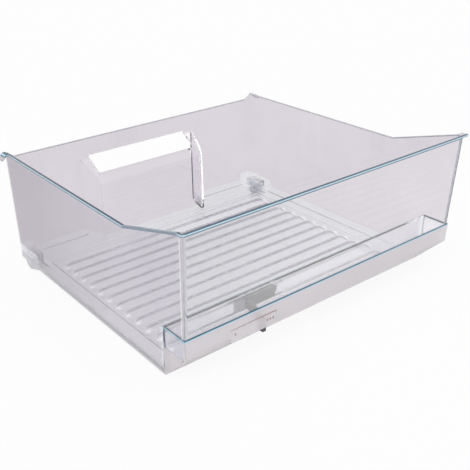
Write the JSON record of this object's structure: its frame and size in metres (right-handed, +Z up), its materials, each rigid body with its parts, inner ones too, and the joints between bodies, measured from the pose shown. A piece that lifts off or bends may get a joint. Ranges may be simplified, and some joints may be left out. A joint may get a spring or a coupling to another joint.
{
  "type": "refrigerator crisper drawer",
  "caption": "Clear moulded refrigerator drawer with a ribbed floor, a rear grip slot, a humidity slider under the front ledge and rear rollers.",
  "frame": {"origin": "middle of the drawer's footprint, at the foot of the rear rollers", "axes": "+Z up, -Y towards the front wall, +X to the right seen from the front"},
  "size_m": [0.474, 0.419, 0.2035],
  "materials": {
    "clear_plastic": "clear polished polystyrene, faintly blue at its edges",
    "frosted_plastic": "frosted, translucent",
    "shutter_plastic": "fine satin",
    "dark_plastic": "fine satin",
    "roller_plastic": "natural translucent",
    "pin_steel": "drawn bright"
  },
  "bodies": {
    "drawer": {"tub": "clear_plastic", "front_cover": "frosted_plastic", "roller_pin_left": "pin_steel", "roller_pin_right": "pin_steel"},
    "humidity_slider": {"shutter_plate": "shutter_plastic", "slider_carriage": "dark_plastic"},
    "left_roller": {"rear_roller_left": "roller_plastic"},
    "right_roller": {"rear_roller_right": "roller_plastic"}
  },
  "joints": [
    {"name": "humidity_slide", "type": "slide", "parent": "drawer", "child": "humidity_slider", "axis": [1, 0, 0], "range_m": [-0.049, 0.011]},
    {"name": "left_roller_spin", "type": "hinge", "parent": "drawer", "child": "left_roller", "pos_m": [-0.2159, 0.178, 0.0115], "axis": [1, 0, 0], "continuous": true},
    {"name": "right_roller_spin", "type": "hinge", "parent": "drawer", "child": "right_roller", "pos_m": [0.2159, 0.178, 0.0115], "axis": [1, 0, 0], "continuous": true}
  ]
}
